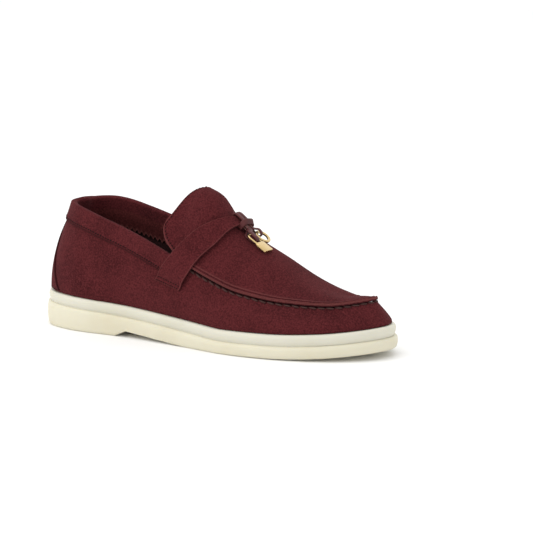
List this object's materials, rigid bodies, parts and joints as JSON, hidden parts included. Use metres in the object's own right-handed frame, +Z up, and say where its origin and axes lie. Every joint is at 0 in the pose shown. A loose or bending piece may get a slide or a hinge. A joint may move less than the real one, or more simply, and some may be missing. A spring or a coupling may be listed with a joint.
{
  "type": "penny loafer",
  "caption": "Low slip-on shoe with an apron toe, a saddle strap over the instep, a knotted lace with two small metal charms, and a flat rubber sole.",
  "frame": {"origin": "on the ground under the middle of the sole", "axes": "+X towards the toe, +Y towards the inner side of the foot, +Z up"},
  "size_m": [0.269, 0.0901, 0.1025],
  "materials": {
    "outsole_rubber": "matte",
    "midsole_rubber": "satin",
    "shank_steel": "brushed",
    "filler_cork": "matte",
    "board": "matte",
    "foam": "matte",
    "footbed_leather": "smooth",
    "suede": "suede nap",
    "suede_inside": "suede nap",
    "stiffener": "matte",
    "lining": "smooth",
    "thread": "matte",
    "lace": "smooth, slightly shiny",
    "gold": "polished pale gold"
  },
  "bodies": {
    "shoe": {"outsole": "outsole_rubber", "midsole": "midsole_rubber", "shank": "shank_steel", "bottom_filler": "filler_cork", "insole_board": "board", "heel_pad": "foam", "footbed": "footbed_leather", "upper_wrap": "suede", "heel_counter": "stiffener", "quarter_lining": "lining", "toe_puff": "stiffener", "backstay": "suede", "collar_facing": "suede_inside", "collar_band": "suede", "apron": "suede", "tongue_lining": "lining", "vamp_lining": "lining", "apron_thread": "thread", "collar_thread": "thread", "saddle_strap": "suede", "strap_thread_outer": "thread", "strap_thread_inner": "thread", "lace_knot": "lace"},
    "ring_strand": {"ring_lace": "lace"},
    "ring": {"ring_charm": "gold"},
    "padlock_strand": {"lock_lace": "lace"},
    "padlock": {"padlock_body": "gold", "padlock_shackle": "gold"}
  },
  "joints": [
    {"name": "ring_strand_swing", "type": "hinge", "parent": "shoe", "child": "ring_strand", "pos_m": [0.02915, 0.00226, 0.07805], "axis": [0, -1, 0], "range_deg": [0, 75]},
    {"name": "ring_swing", "type": "hinge", "parent": "ring_strand", "child": "ring", "pos_m": [0.0314, 0.0053, 0.07413], "axis": [0, -1, 0], "range_deg": [0, 80]},
    {"name": "padlock_strand_swing", "type": "hinge", "parent": "shoe", "child": "padlock_strand", "pos_m": [0.02915, -0.00204, 0.07805], "axis": [0, -1, 0], "range_deg": [0, 75]},
    {"name": "padlock_swing", "type": "hinge", "parent": "padlock_strand", "child": "padlock", "pos_m": [0.0318, -0.0056, 0.07387], "axis": [0, -1, 0], "range_deg": [0, 80]}
  ]
}
